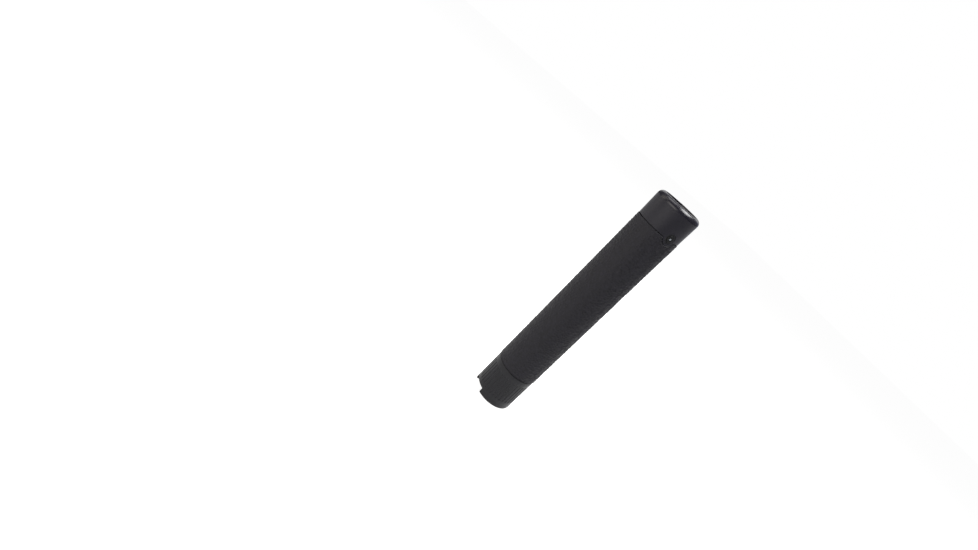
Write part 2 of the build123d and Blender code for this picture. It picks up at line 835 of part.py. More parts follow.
with BuildPart() as tail_switch_body:
    with BuildSketch(Plane.XY.offset(switch_z)):
        Rectangle(switch_side, switch_side)
    extrude(amount=switch_height)
    chamfer(tail_switch_body.edges().filter_by(Axis.Z), length=seam_gap)
    with BuildSketch(Plane.XY.offset(switch_z)):
        Circle(plunger_radius + press_gap)
    extrude(amount=switch_bore_top - switch_z, mode=Mode.SUBTRACT)
keep(tail_switch_body, "tail_switch_body")

with BuildPart() as tail_plunger:
    revolve(
        outline(
            (0, pad_z),
            (plunger_pad_radius, pad_z),
            (plunger_pad_radius, pad_z + plunger_pad),
            (plunger_radius, pad_z + plunger_pad),
            (plunger_radius, plunger_top),
            (0, plunger_top),
        ),
        axis=Axis.Z,
    )
    fillet(tail_plunger.edges().filter_by(GeomType.CIRCLE).sort_by(Axis.Z)[0], radius=plunger_pad / 2)
keep(tail_plunger, "tail_plunger")

tail_switch_spring = coil(
    plunger_top,
    switch_bore_top,
    switch_spring_radius,
    switch_spring_radius,
    switch_spring_turns,
    switch_spring_wire,
)
keep(tail_switch_spring, "tail_switch_spring")

with BuildPart() as tail_board:
    with BuildSketch(Plane.XY.offset(tail_board_z)):
        Circle(tail_board_radius)
    extrude(amount=board_thickness)
keep(tail_board, "tail_board")

with BuildPart() as tail_retaining_ring:
    ring_top = tail_contact_z + tail_ring_height
    revolve(band(tail_ring_bore, tail_board_radius, tail_contact_z, ring_top), axis=Axis.Z)
    with BuildSketch(Plane.XY.offset(ring_top)):
        with PolarLocations(tail_board_radius, 2):
            Rectangle(tail_ring_wall, spanner_notch)
    extrude(amount=-tail_ring_height / 2, mode=Mode.SUBTRACT)
keep(tail_retaining_ring, "tail_retaining_ring")

tail_spring = coil(
    tail_contact_z + press_gap,
    cell_z + cell_wrap - press_gap,
    tail_spring_base,
    tail_spring_tip,
    tail_spring_turns,
    spring_wire,
)
keep(tail_spring, "tail_spring")
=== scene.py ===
import json
import math

import bmesh
import bpy
from mathutils import Matrix, Vector


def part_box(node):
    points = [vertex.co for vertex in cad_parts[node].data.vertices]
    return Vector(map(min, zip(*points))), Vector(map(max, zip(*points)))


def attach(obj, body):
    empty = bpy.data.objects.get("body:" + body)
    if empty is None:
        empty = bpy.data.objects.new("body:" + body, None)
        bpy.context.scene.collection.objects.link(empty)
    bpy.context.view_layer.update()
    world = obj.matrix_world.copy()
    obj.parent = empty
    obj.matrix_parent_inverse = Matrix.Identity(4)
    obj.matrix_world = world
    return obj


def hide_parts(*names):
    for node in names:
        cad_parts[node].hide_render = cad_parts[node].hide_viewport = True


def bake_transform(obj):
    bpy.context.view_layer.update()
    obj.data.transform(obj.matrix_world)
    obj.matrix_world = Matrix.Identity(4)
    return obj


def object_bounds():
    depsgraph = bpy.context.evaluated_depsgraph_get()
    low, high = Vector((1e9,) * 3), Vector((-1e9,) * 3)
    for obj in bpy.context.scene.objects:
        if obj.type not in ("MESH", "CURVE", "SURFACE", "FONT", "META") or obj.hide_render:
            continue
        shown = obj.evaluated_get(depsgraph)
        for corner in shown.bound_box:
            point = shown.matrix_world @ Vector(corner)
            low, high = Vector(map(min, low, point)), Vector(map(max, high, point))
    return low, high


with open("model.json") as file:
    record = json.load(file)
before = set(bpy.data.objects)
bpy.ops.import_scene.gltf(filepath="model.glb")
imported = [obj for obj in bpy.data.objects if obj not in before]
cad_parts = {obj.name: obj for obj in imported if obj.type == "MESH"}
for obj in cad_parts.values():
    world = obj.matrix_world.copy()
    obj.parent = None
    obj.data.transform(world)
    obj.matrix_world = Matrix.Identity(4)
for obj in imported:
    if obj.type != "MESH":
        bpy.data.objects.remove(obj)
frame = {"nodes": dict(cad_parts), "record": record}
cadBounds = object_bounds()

mm = 0.001  # every size in the dictionaries is in millimetres, unless it says otherwise
scene = bpy.context.scene
print("frame loaded:", len(frame["nodes"]), "nodes")


def low(node, axis=2):  # a CAD node's lower end, in millimetres
    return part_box(node)[0][axis] / mm


def high(node, axis=2):
    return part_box(node)[1][axis] / mm


def linear(hexColour):  # an sRGB hex value as linear light
    channels = [int(hexColour[i:i + 2], 16) / 255 for i in (1, 3, 5)]
    return tuple(c / 12.92 if c <= 0.04045 else ((c + 0.055) / 1.055) ** 2.4 for c in channels) + (1.0,)


def addNode(tree, kind, settings=None, inputs=None, feeds=None):
    # inputs holds numbers or the sockets to link from; feeds is where the first output goes
    node = tree.nodes.new(kind)
    for name, value in (settings or {}).items():
        setattr(node, name, value)
    for name, value in (inputs or {}).items():
        if isinstance(value, bpy.types.NodeSocket):
            tree.links.new(value, node.inputs[name])
        else:
            node.inputs[name].default_value = value
    if feeds:
        tree.links.new(node.outputs[0], feeds)
    return node


def startMaterial(name, colour, roughness, **sockets):  # sockets: other Principled inputs by plain name
    material = bpy.data.materials.new(name)
    material.use_nodes = True
    tree = material.node_tree
    shader = tree.nodes["Principled BSDF"]
    shader.inputs["Base Color"].default_value = linear(colour)
    shader.inputs["Roughness"].default_value = roughness
    for socket, value in sockets.items():
        shader.inputs[socket.replace("_", " ")].default_value = value
    place = addNode(tree, "ShaderNodeTexCoord").outputs["Object"]
    return material, tree, shader, place


def mottle(tree, shader, place, scale, colours, roughness=None, stretch=(1, 1, 1)):
    # slow change of colour and gloss over the surface, as handling and finishing leave
    stretched = addNode(tree, "ShaderNodeMapping", inputs={"Vector": place, "Scale": stretch})
    noise = addNode(tree, "ShaderNodeTexNoise", inputs={
        "Vector": stretched.outputs["Vector"], "Scale": scale, "Detail": 5.0, "Roughness": 0.6})
    cloud = noise.outputs["Fac"]
    ramp = addNode(tree, "ShaderNodeValToRGB", inputs={"Fac": cloud}, feeds=shader.inputs["Base Color"])
    for stop, position, colour in zip(ramp.color_ramp.elements, (0.35, 0.68), colours):
        stop.position, stop.color = position, linear(colour)
    if roughness:
        addNode(tree, "ShaderNodeMapRange", inputs={
            "Value": cloud, "From Min": 0.3, "From Max": 0.7,
            "To Min": roughness[0], "To Max": roughness[1]}, feeds=shader.inputs["Roughness"])
    return cloud


def perMetre(size):  # a texture's scale for features of this size in millimetres
    return 1.0 / (size * mm)


waveLength = 2 * math.pi / 20  # of the wave texture at a scale of 1


def hardAnodised(name, colours, roughness, grain=0.012, specular=0.20):
    # hard-coat anodised aluminium over a fine blast: near black, satin, a soft broad highlight;
    # the blast's grit is drawn 0.22 mm across, coarser than the real 0.1 mm, so that it shows
    material, tree, shader, place = startMaterial(
        name, colours[0], roughness[0], Specular_IOR_Level=specular)
    mottle(tree, shader, place, perMetre(14), colours, roughness)
    grit = addNode(tree, "ShaderNodeTexNoise", inputs={
        "Vector": place, "Scale": perMetre(0.22), "Detail": 2.0})
    addNode(tree, "ShaderNodeBump", inputs={
        "Height": grit.outputs["Fac"], "Distance": grain * mm, "Strength": 0.5},
        feeds=shader.inputs["Normal"])
    return material


def mouldedRubber():
    # compression-moulded nitrile: matt, nearly black, with a little grey bloom in patches of 3 mm
    material, tree, shader, place = startMaterial(
        "mouldedNitrileRubber", "#111016", 0.58, Specular_IOR_Level=0.20)
    mottle(tree, shader, place, perMetre(3), ("#0e0d12", "#1a191f"), (0.50, 0.68))
    grain = addNode(tree, "ShaderNodeTexNoise", inputs={
        "Vector": place, "Scale": perMetre(0.5), "Detail": 3.0})
    addNode(tree, "ShaderNodeBump", inputs={
        "Height": grain.outputs["Fac"], "Distance": 0.06 * mm, "Strength": 0.8},
        feeds=shader.inputs["Normal"])
    return material


def softRubber(name, colours, roughness, grainSize=0.3):
    # silicone and O-ring rubber: smooth off the mould, fine dust in the surface
    material, tree, shader, place = startMaterial(name, colours[0], roughness, Specular_IOR_Level=0.15)
    mottle(tree, shader, place, perMetre(3), colours, (roughness - 0.06, roughness + 0.08))
    grain = addNode(tree, "ShaderNodeTexNoise", inputs={
        "Vector": place, "Scale": perMetre(grainSize), "Detail": 2.0})
    addNode(tree, "ShaderNodeBump", inputs={
        "Height": grain.outputs["Fac"], "Distance": 0.01 * mm, "Strength": 0.4},
        feeds=shader.inputs["Normal"])
    return material


def turnedMetal(name, colours, roughness, lineSpacing=1.131):
    # lathe-turned bare metal: tool lines run round the axis, so they follow height alone;
    # real ones are 0.1 to 0.2 mm apart, and these are coarser, so that they show
    material, tree, shader, place = startMaterial(name, colours[0], roughness, Metallic=1.0)
    mottle(tree, shader, place, perMetre(5), colours, (roughness - 0.07, roughness + 0.1))
    lines = addNode(tree, "ShaderNodeTexWave", {"wave_type": "BANDS", "bands_direction": "Z"}, {
        "Vector": place, "Scale": waveLength * perMetre(lineSpacing), "Distortion": 1.2, "Detail": 2.0})
    addNode(tree, "ShaderNodeBump", inputs={
        "Height": lines.outputs["Fac"], "Distance": 0.008 * mm, "Strength": 0.5},
        feeds=shader.inputs["Normal"])
    return material


def drawnWire(name, colours, roughness):
    # spring wire: drawn smooth, so only faint mottling of the plating shows
    material, tree, shader, place = startMaterial(name, colours[0], roughness, Metallic=1.0)
    mottle(tree, shader, place, perMetre(1.2), colours, (roughness - 0.05, roughness + 0.08))
    return material


def vacuumMetallised():
    # aluminium flashed on lacquer: a near mirror with the faint orange peel of the lacquer
    material, tree, shader, place = startMaterial(
        "vacuumMetallisedAluminium", "#e9e9ec", 0.06, Metallic=1.0)
    peel = addNode(tree, "ShaderNodeTexNoise", inputs={
        "Vector": place, "Scale": perMetre(1.3), "Detail": 1.0})
    addNode(tree, "ShaderNodeBump", inputs={
        "Height": peel.outputs["Fac"], "Distance": 0.02 * mm, "Strength": 0.5},
        feeds=shader.inputs["Normal"])
    return material


def coatedGlass():
    # toughened glass with an anti-reflection coat: clear, the faintest blue, unevenly wiped
    material, tree, shader, place = startMaterial(
        "coatedToughenedGlass", "#f4f6fb", 0.02, Transmission_Weight=1.0, IOR=1.5)
    wipe = addNode(tree, "ShaderNodeTexNoise", inputs={
        "Vector": place, "Scale": perMetre(8), "Detail": 4.0})
    addNode(tree, "ShaderNodeMapRange", inputs={
        "Value": wipe.outputs["Fac"], "From Min": 0.4, "From Max": 0.8, "To Min": 0.01, "To Max": 0.05},
        feeds=shader.inputs["Roughness"])
    return material


def clearSilicone():
    # moulded silicone dome over the chip: clear and soft, a little hazy
    material, tree, shader, place = startMaterial(
        "clearSilicone", "#f7f7f0", 0.06, Transmission_Weight=1.0, IOR=1.41)
    haze = addNode(tree, "ShaderNodeTexNoise", inputs={"Vector": place, "Scale": perMetre(1.0)})
    addNode(tree, "ShaderNodeBump", inputs={
        "Height": haze.outputs["Fac"], "Distance": 0.01 * mm, "Strength": 0.3},
        feeds=shader.inputs["Normal"])
    return material


def mouldedPlastic(name, colours, roughness, grainSize=0.25):
    # injection-moulded nylon or epoxy: even colour, spark-eroded grain from the mould
    material, tree, shader, place = startMaterial(name, colours[0], roughness)
    mottle(tree, shader, place, perMetre(4), colours, (roughness - 0.05, roughness + 0.08))
    grain = addNode(tree, "ShaderNodeTexNoise", inputs={
        "Vector": place, "Scale": perMetre(grainSize), "Detail": 2.0})
    addNode(tree, "ShaderNodeBump", inputs={
        "Height": grain.outputs["Fac"], "Distance": 0.012 * mm, "Strength": 0.5},
        feeds=shader.inputs["Normal"])
    return material


def glassFibreBoard(name, mask, copper):
    # FR4 board: glossy solder mask with copper tracks that show paler through it
    material, tree, shader, place = startMaterial(name, mask, 0.32, Coat_Weight=0.3)
    tracks = addNode(tree, "ShaderNodeTexBrick", {"offset": 0.37, "squash": 1.7, "squash_frequency": 3}, {
        "Vector": place, "Color1": linear(mask), "Color2": linear(copper), "Mortar": linear(mask),
        "Scale": perMetre(6), "Mortar Size": 0.03, "Brick Width": 0.55, "Row Height": 0.17},
        feeds=shader.inputs["Base Color"])
    addNode(tree, "ShaderNodeBump", inputs={
        "Height": tracks.outputs["Fac"], "Distance": 0.03 * mm, "Strength": 0.4},
        feeds=shader.inputs["Normal"])
    return material


def firedCeramic():
    # alumina LED base: chalk white, fine sintered grain
    material, tree, shader, place = startMaterial("firedAluminaCeramic", "#e6e4dc", 0.5)
    mottle(tree, shader, place, perMetre(0.8), ("#dedcd2", "#efede6"), (0.42, 0.56))
    return material


def phosphorLayer():
    # cerium phosphor in silicone: saturated yellow, slightly granular
    material, tree, shader, place = startMaterial("ceriumPhosphor", "#e8c33a", 0.55)
    mottle(tree, shader, place, perMetre(0.25), ("#d9ae22", "#f2d45a"), (0.48, 0.62))
    return material


def shrunkFilm():
    # PVC wrap shrunk on the cell: glossy, with faint drawn wrinkles along the cell
    material, tree, shader, place = startMaterial("shrunkPvcFilm", "#1d4f8c", 0.24, Coat_Weight=0.4)
    cloud = mottle(tree, shader, place, perMetre(2.5), ("#1b4a84", "#225793"), (0.2, 0.3), (1, 1, 0.08))
    addNode(tree, "ShaderNodeBump", inputs={
        "Height": cloud, "Distance": 0.05 * mm, "Strength": 0.5},
        feeds=shader.inputs["Normal"])
    return material


def woundFoil():
    # electrode winding seen end on: grey layers, drawn 2.5 mm apart where real ones are 0.2 mm
    material, tree, shader, place = startMaterial("woundElectrodeFoil", "#4b4b4d", 0.5, Metallic=0.6)
    layers = addNode(tree, "ShaderNodeTexWave", {"wave_type": "RINGS", "rings_direction": "Z"}, {
        "Vector": place, "Scale": waveLength * perMetre(2.513), "Distortion": 0.3})
    ramp = addNode(tree, "ShaderNodeValToRGB", inputs={
        "Fac": layers.outputs["Fac"]}, feeds=shader.inputs["Base Color"])
    for stop, colour in zip(ramp.color_ramp.elements, ("#2f2f31", "#77777a")):
        stop.color = linear(colour)
    return material


def amberPolyimide():
    # polyimide ribbon: amber film with copper tracks running along it, 4.7 mm apart
    material, tree, shader, place = startMaterial("amberPolyimideFilm", "#a8661b", 0.3, Coat_Weight=0.3)
    tracks = addNode(tree, "ShaderNodeTexWave", {"wave_type": "BANDS", "bands_direction": "X"}, {
        "Vector": place, "Scale": waveLength * perMetre(4.712), "Distortion": 0.0})
    ramp = addNode(tree, "ShaderNodeValToRGB", inputs={
        "Fac": tracks.outputs["Fac"]}, feeds=shader.inputs["Base Color"])
    for stop, colour in zip(ramp.color_ramp.elements, ("#8f5413", "#d08a35")):
        stop.color = linear(colour)
    return material


def lightPipe():
    # frosted polycarbonate window, unlit: a pale grey dot
    material, tree, shader, place = startMaterial("polycarbonateLightPipe", "#6d7379", 0.22)
    mottle(tree, shader, place, perMetre(0.6), ("#646a70", "#7b8187"), (0.18, 0.3))
    return material


materials = {
    "anodised_aluminium": hardAnodised("hardAnodisedAluminium", ("#121215", "#18181c"), (0.38, 0.48)),
    "moulded_rubber": mouldedRubber(),
    "lens_glass": coatedGlass(),
    "reflector_metal": vacuumMetallised(),
    "seal_rubber": softRubber("nitrileSealRubber", ("#0d0d0d", "#141414"), 0.42),
    "boot_rubber": softRubber("siliconeBootRubber", ("#0b0b0c", "#121214"), 0.5),
    "turned_aluminium": turnedMetal("turnedAluminium", ("#c6c8cb", "#d6d8da"), 0.28),
    "brass": turnedMetal("turnedBrass", ("#c39a4c", "#d4ad5f"), 0.26),
    "gold_spring": drawnWire("goldPlatedWire", ("#d7a84a", "#e6bd62"), 0.2),
    "spring_steel": drawnWire("drawnSpringSteel", ("#b4b4b6", "#c9c9ca"), 0.24),
    "steel": turnedMetal("plainSteel", ("#a9abad", "#bcbec0"), 0.3, lineSpacing=1.571),
    "cell_steel": drawnWire("nickelPlatedSteel", ("#c4c2bb", "#d5d3cd"), 0.22),
    "electrode_roll": woundFoil(),
    "cell_wrap": shrunkFilm(),
    "washer_paper": mouldedPlastic("fibrePaper", ("#d9d6cc", "#e6e3da"), 0.75, 0.4),
    "circuit_board": glassFibreBoard("greenSolderMaskBoard", "#0f4a2a", "#1d6e42"),
    "led_board_mask": glassFibreBoard("whiteMaskCopperBoard", "#e3e3df", "#d5d2c6"),
    "component": mouldedPlastic("mouldedEpoxy", ("#1a1a1b", "#232324"), 0.45),
    "led_ceramic": firedCeramic(),
    "phosphor": phosphorLayer(),
    "silicone_dome": clearSilicone(),
    "nylon": mouldedPlastic("naturalNylon", ("#dedbd0", "#e9e6dc"), 0.42),
    "black_nylon": mouldedPlastic("blackNylon", ("#141415", "#1c1c1d"), 0.46),
    "wire_red": softRubber("redWireInsulation", ("#9c1f18", "#ad2a21"), 0.35),
    "wire_black": softRubber("blackWireInsulation", ("#151515", "#1e1e1e"), 0.35),
    "polyimide": amberPolyimide(),
    "light_pipe": lightPipe(),
}
# the head is finished with a violet cast, and the bezel is polished first, so it takes a sharp highlight
headFinish = hardAnodised("hardAnodisedHead", ("#131219", "#19181f"), (0.40, 0.50))
bezelFinish = hardAnodised(
    "polishedAnodisedBezel", ("#131219", "#19181f"), (0.24, 0.30), grain=0.006, specular=0.30)
print("materials made:", len(materials) + 2)


def roundedOutline(points, steps):  # points are (radius, height) or (radius, height, corner radius)
    outline = []
    for index, point in enumerate(points):
        corner = Vector(point[:2])
        if len(point) < 3:
            outline.append(corner)
            continue
        toBefore = (Vector(points[index - 1][:2]) - corner).normalized()
        toAfter = (Vector(points[(index + 1) % len(points)][:2]) - corner).normalized()
        half = toBefore.angle(toAfter) / 2
        centre = corner + (toBefore + toAfter).normalized() * (point[2] / math.sin(half))
        start = corner + toBefore * (point[2] / math.tan(half)) - centre
        end = corner + toAfter * (point[2] / math.tan(half)) - centre
        spread = start.angle(end)
        for step in range(steps + 1):
            turnedBy = spread * step / steps
            spoke = start * math.sin(spread - turnedBy) + end * math.sin(turnedBy)
            outline.append(centre + spoke / math.sin(spread))
    return outline


def evenAngles(count):
    return [2 * math.pi * step / count for step in range(count)]


def turned(outline, angles, shape=None):
    # a closed outline turned about Z; shape(radius, height, angle) may move a point in or out
    build = bmesh.new()
    rings = []
    for radius, height in outline:
        if radius < 1e-6:
            rings.append([build.verts.new((0, 0, height * mm))])
            continue
        ring = []
        for angle in angles:
            reach = shape(radius, height, angle) if shape else radius
            ring.append(build.verts.new((
                reach * math.cos(angle) * mm, reach * math.sin(angle) * mm, height * mm)))
        rings.append(ring)
    count = len(angles)
    for lower, upper in zip(rings, rings[1:] + rings[:1]):
        for step in range(count):
            follow = (step + 1) % count
            corners = [lower[step % len(lower)], lower[follow % len(lower)],
                       upper[follow % len(upper)], upper[step % len(upper)]]
            corners = list(dict.fromkeys(corners))  # three where a ring is a single point
            if len(corners) > 2:
                build.faces.new(corners)
    bmesh.ops.recalc_face_normals(build, faces=build.faces)
    return build


def makePiece(name, build, material, body, replaced, sharpAngle=32):
    # body is None for a piece that is left unattached, and its caller bakes it in place
    bmesh.ops.remove_doubles(build, verts=build.verts, dist=1e-7)
    bmesh.ops.recalc_face_normals(build, faces=build.faces)
    for face in build.faces:
        face.smooth = True
    for edge in build.edges:
        edge.smooth = len(edge.link_faces) == 2 and edge.calc_face_angle(0) < math.radians(sharpAngle)
    mesh = bpy.data.meshes.new(name)
    build.to_mesh(mesh)
    build.free()
    piece = bpy.data.objects.new(name, mesh)
    scene.collection.objects.link(piece)
    mesh.materials.append(material)
    if body:
        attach(piece, body)
    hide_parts(*replaced)
    return piece


cameraValues = {
    "lens": 19.51,
    "place": (-225.6, -287.1, 213.9),
    "turn": (61.928, -38.298, -10.022),  # in degrees; rolled, so the flashlight lies aslant in the frame
}
cameraData = bpy.data.cameras.new("camera")
cameraData.lens = cameraValues["lens"]
camera = bpy.data.objects.new("camera", cameraData)
camera.location = [value * mm for value in cameraValues["place"]]
camera.rotation_euler = [math.radians(value) for value in cameraValues["turn"]]
scene.collection.objects.link(camera)
scene.camera = camera
scene.view_settings.view_transform = "Standard"

# degrees from the flashlight's middle, azimuth 0 towards -Y and 90 towards +X; metres and watts
lightValues = {
    "leftBank": {"azimuth": -125, "elevation": 20, "distance": 0.9, "size": (0.45, 1.0), "power": 2.6,
                 "colour": "#fff8ea"},
    "frontBank": {"azimuth": -66, "elevation": 16, "distance": 0.9, "size": (0.8, 0.5), "power": 4.8,
                  "colour": "#fffaf4"},
    "overheadBox": {"azimuth": 59, "elevation": 72, "distance": 0.9, "size": (0.72, 0.36), "power": 15.0,
                    "colour": "#ffffff"},
    "overheadFill": {"azimuth": -140, "elevation": 70, "distance": 0.9, "size": (0.5, 0.45), "power": 3.0,
                     "colour": "#ffffff"},
    "backBank": {"azimuth": 142, "elevation": 28, "distance": 0.9, "size": (0.9, 0.4), "power": 1.1,
                 "colour": "#ffffff"},
    "rightBank": {"azimuth": 108, "elevation": 12, "distance": 0.9, "size": (0.2, 0.9), "power": 0.15,
                  "colour": "#aab8ff"},
}
middle = (cadBounds[0] + cadBounds[1]) / 2
for lightName, values in lightValues.items():
    azimuth, elevation = math.radians(values["azimuth"]), math.radians(values["elevation"])
    outwards = Vector((math.sin(azimuth) * math.cos(elevation),
                       -math.cos(azimuth) * math.cos(elevation), math.sin(elevation)))
    data = bpy.data.lights.new(lightName, "AREA")
    data.shape, data.size, data.size_y = "RECTANGLE", *values["size"]
    data.energy = values["power"]
    data.color = linear(values["colour"])[:3]
    lamp = bpy.data.objects.new(lightName, data)
    lamp.location = middle + outwards * values["distance"]
    lamp.rotation_euler = (-outwards).to_track_quat("-Z", "Y").to_euler()
    lamp.visible_camera = False
    scene.collection.objects.link(lamp)

# brightness as a backdrop, then as a light from above and low down; full above the height fullAt
worldValues = {"seen": 1.0, "zenith": 0.16, "horizon": 0.10, "fullAt": 0.7}
world = bpy.data.worlds.new("studio")
world.use_nodes = True
scene.world = world
backdrop = world.node_tree.nodes["Background"]
backdrop.inputs["Color"].default_value = (1, 1, 1, 1)
skyPlace = addNode(world.node_tree, "ShaderNodeTexCoord").outputs["Generated"]
skyHeight = addNode(world.node_tree, "ShaderNodeSeparateXYZ", inputs={"Vector": skyPlace}).outputs["Z"]
skyLight = addNode(world.node_tree, "ShaderNodeMapRange", inputs={
    "Value": skyHeight, "From Min": 0.0, "From Max": worldValues["fullAt"],
    "To Min": worldValues["horizon"], "To Max": worldValues["zenith"]}).outputs["Result"]
rayKind = addNode(world.node_tree, "ShaderNodeLightPath").outputs["Is Camera Ray"]
addNode(world.node_tree, "ShaderNodeMapRange", inputs={
    "Value": rayKind, "To Min": skyLight, "To Max": worldValues["seen"]}, feeds=backdrop.inputs["Strength"])

floorValues = {"half": 6.0, "colour": "#a9a9a9", "glow": 0.92}  # metres; a light table, pale by its own glow
floorBuild = bmesh.new()
bmesh.ops.create_grid(floorBuild, x_segments=1, y_segments=1, size=floorValues["half"])
floorMesh = bpy.data.meshes.new("floor")
floorBuild.to_mesh(floorMesh)
floorBuild.free()
floor = bpy.data.objects.new("floor", floorMesh)
scene.collection.objects.link(floor)
palePaper = startMaterial("palePaper", floorValues["colour"], 0.9, Specular_IOR_Level=0.0,
                          Emission_Color=(1, 1, 1, 1), Emission_Strength=floorValues["glow"])[0]
floorMesh.materials.append(palePaper)
print("camera, lights and floor placed")


def grow(tree, values, build=None):
    # runs a tree on a mesh or on nothing; inputs are set by identifier, and the result is a plain mesh
    start = bpy.data.meshes.new("start")
    if build:
        build.to_mesh(start)
        build.free()
    holder = bpy.data.objects.new("holder", start)
    scene.collection.objects.link(holder)
    modifier = holder.modifiers.new("grow", "NODES")
    modifier.node_group = tree
    for item in tree.interface.items_tree:
        if item.item_type == "SOCKET" and item.in_out == "INPUT" and item.name in values:
            modifier[item.identifier] = values[item.name]
    graph = bpy.context.evaluated_depsgraph_get()
    mesh = bpy.data.meshes.new_from_object(holder.evaluated_get(graph))
    grown = bmesh.new()
    grown.from_mesh(mesh)
    bpy.data.objects.remove(holder)
    bpy.data.meshes.remove(mesh)
    bpy.data.meshes.remove(start)
    return grown


def startTree(name, inputs):  # inputs: socket name to kind, between the geometry and the finish
    tree = bpy.data.node_groups.new(name, "GeometryNodeTree")
    tree.interface.new_socket("Geometry", in_out="OUTPUT", socket_type="NodeSocketGeometry")
    for inputName, kind in {"Geometry": "Geometry", **inputs, "Finish": "Material"}.items():
        tree.interface.new_socket(inputName, in_out="INPUT", socket_type="NodeSocket" + kind)
    return tree, addNode(tree, "NodeGroupInput").outputs


def endTree(tree, geometry, finish):
    real = addNode(tree, "GeometryNodeRealizeInstances", inputs={"Geometry": geometry}).outputs["Geometry"]
    finished = addNode(tree, "GeometryNodeSetMaterial", inputs={"Geometry": real, "Material": finish})
    addNode(tree, "NodeGroupOutput", inputs={"Geometry": finished.outputs["Geometry"]})
    return tree


def pebbleTree():
    # domes between narrow valleys, from the distances to the two nearest points of a scattered lattice
    tree, given = startTree("pebbleGrain", {
        "Pebble Size": "Float", "Pebble Depth": "Float", "Irregularity": "Float"})
    place = addNode(tree, "GeometryNodeInputPosition").outputs["Position"]
    density = addNode(tree, "ShaderNodeMath", {"operation": "DIVIDE"}, {0: 1.0, 1: given["Pebble Size"]})
    nearest, second = [addNode(tree, "ShaderNodeTexVoronoi", {"feature": feature}, {
        "Vector": place, "Scale": density.outputs[0], "Randomness": given["Irregularity"]})
        for feature in ("F1", "F2")]
    dome = addNode(tree, "ShaderNodeMath", {"operation": "SUBTRACT"}, {
        0: second.outputs["Distance"], 1: nearest.outputs["Distance"]})
    crown = addNode(tree, "ShaderNodeMapRange", {"interpolation_type": "SMOOTHSTEP"}, {
        "Value": dome.outputs[0], "From Max": 0.5, "To Min": -1.0, "To Max": 0.0})
    share = addNode(tree, "GeometryNodeInputNamedAttribute", {"data_type": "FLOAT"}, {"Name": "grain"})
    faded = addNode(tree, "ShaderNodeMath", {"operation": "MULTIPLY"}, {
        0: crown.outputs["Result"], 1: share.outputs["Attribute"]})
    depth = addNode(tree, "ShaderNodeMath", {"operation": "MULTIPLY"}, {
        0: faded.outputs[0], 1: given["Pebble Depth"]})
    outwards = addNode(tree, "GeometryNodeInputNormal").outputs["Normal"]
    offset = addNode(tree, "ShaderNodeVectorMath", {"operation": "SCALE"}, {
        "Vector": outwards, "Scale": depth.outputs[0]})
    moved = addNode(tree, "GeometryNodeSetPosition", inputs={
        "Geometry": given["Geometry"], "Offset": offset.outputs["Vector"]})
    return endTree(tree, moved.outputs["Geometry"], given["Finish"])


sleeveSizes = {
    "wall": 1.35,
    "rimRound": 0.5,
    "rimSteps": (0.0, 0.08, 0.3, 0.62, 1.0),  # heights of the rim's rows, as shares of its rounding
    "notchRadius": 5.25,  # round the switch's tongue
    "notchSteps": 14,
    "columns": 236,
    "rows": 300,
    "pebble": 1.9,
    "pebbleDepth": 0.30,
    "grainStart": 0.4,  # where the pebbles begin, as a share of the rim's rounding
    "irregularity": 0.9,  # 0 for an even lattice, 1 for wholly scattered pebbles
}


def makeGripSleeve(sizes):
    bottom, top = low("grip_sleeve"), high("grip_sleeve")
    radius = high("grip_sleeve", 0)
    switchHeight = (low("side_switch_ring") + high("side_switch_ring")) / 2
    notch = sizes["notchRadius"]
    reach = math.acos((switchHeight - top) / notch)
    angles = []  # columns close together at the notch, then evenly round the rest
    for step in range(-sizes["notchSteps"], sizes["notchSteps"] + 1):
        angles.append(math.asin(notch * math.sin(reach * step / sizes["notchSteps"]) / radius))
    gap = 2 * math.pi - 2 * angles[-1]
    angles += [angles[-1] + gap * step / sizes["columns"] for step in range(1, sizes["columns"])]
    angles = [angle - math.pi / 2 for angle in angles]

    def topAt(angle):
        across = abs(radius * math.cos(angle))
        if math.sin(angle) > 0 or across >= notch:
            return top
        return min(top, switchHeight - math.sqrt(notch * notch - across * across))

    build = bmesh.new()
    grain = build.verts.layers.float.new("grain")  # a point's share of the pebbling: none at the rims
    heights = [step / sizes["rows"] for step in range(sizes["rows"] + 1)]
    rimSteps, rim = sizes["rimSteps"], sizes["rimRound"]
    columns = []
    for angle in angles:
        columnTop = topAt(angle)
        outer = []
        marks = [bottom + rim * share for share in rimSteps]
        marks += [bottom + rim + (columnTop - bottom - 2 * rim) * share for share in heights[1:-1]]
        marks += [columnTop - rim * share for share in reversed(rimSteps)]
        for height in marks:
            fromEnd = min(height - bottom, columnTop - height)
            inset = rim - math.sqrt(max(0.0, rim * rim - max(0.0, rim - fromEnd) ** 2))
            fade = min(1.0, max(0.0, (fromEnd - rim * sizes["grainStart"]) / rim))
            outer.append((radius - inset, height, fade))
        inside = radius - sizes["wall"]
        column = []
        for reachOut, height, fade in outer + [(inside, columnTop, 0), (inside, bottom, 0)]:
            column.append(build.verts.new((
                reachOut * math.cos(angle) * mm, reachOut * math.sin(angle) * mm, height * mm)))
            column[-1][grain] = fade
        columns.append(column)
    for here, there in zip(columns, columns[1:] + columns[:1]):
        for step in range(len(here)):
            follow = (step + 1) % len(here)
            build.faces.new((here[step], there[step], there[follow], here[follow]))
    bmesh.ops.recalc_face_normals(build, faces=build.faces)
    build = grow(pebbleTree(), {
        "Pebble Size": sizes["pebble"] * mm, "Pebble Depth": sizes["pebbleDepth"] * mm,
        "Irregularity": sizes["irregularity"], "Finish": materials["moulded_rubber"]}, build)
    return makePiece("gripSleeve", build, materials["moulded_rubber"], "light_body",
                     ["grip_sleeve"], 50)


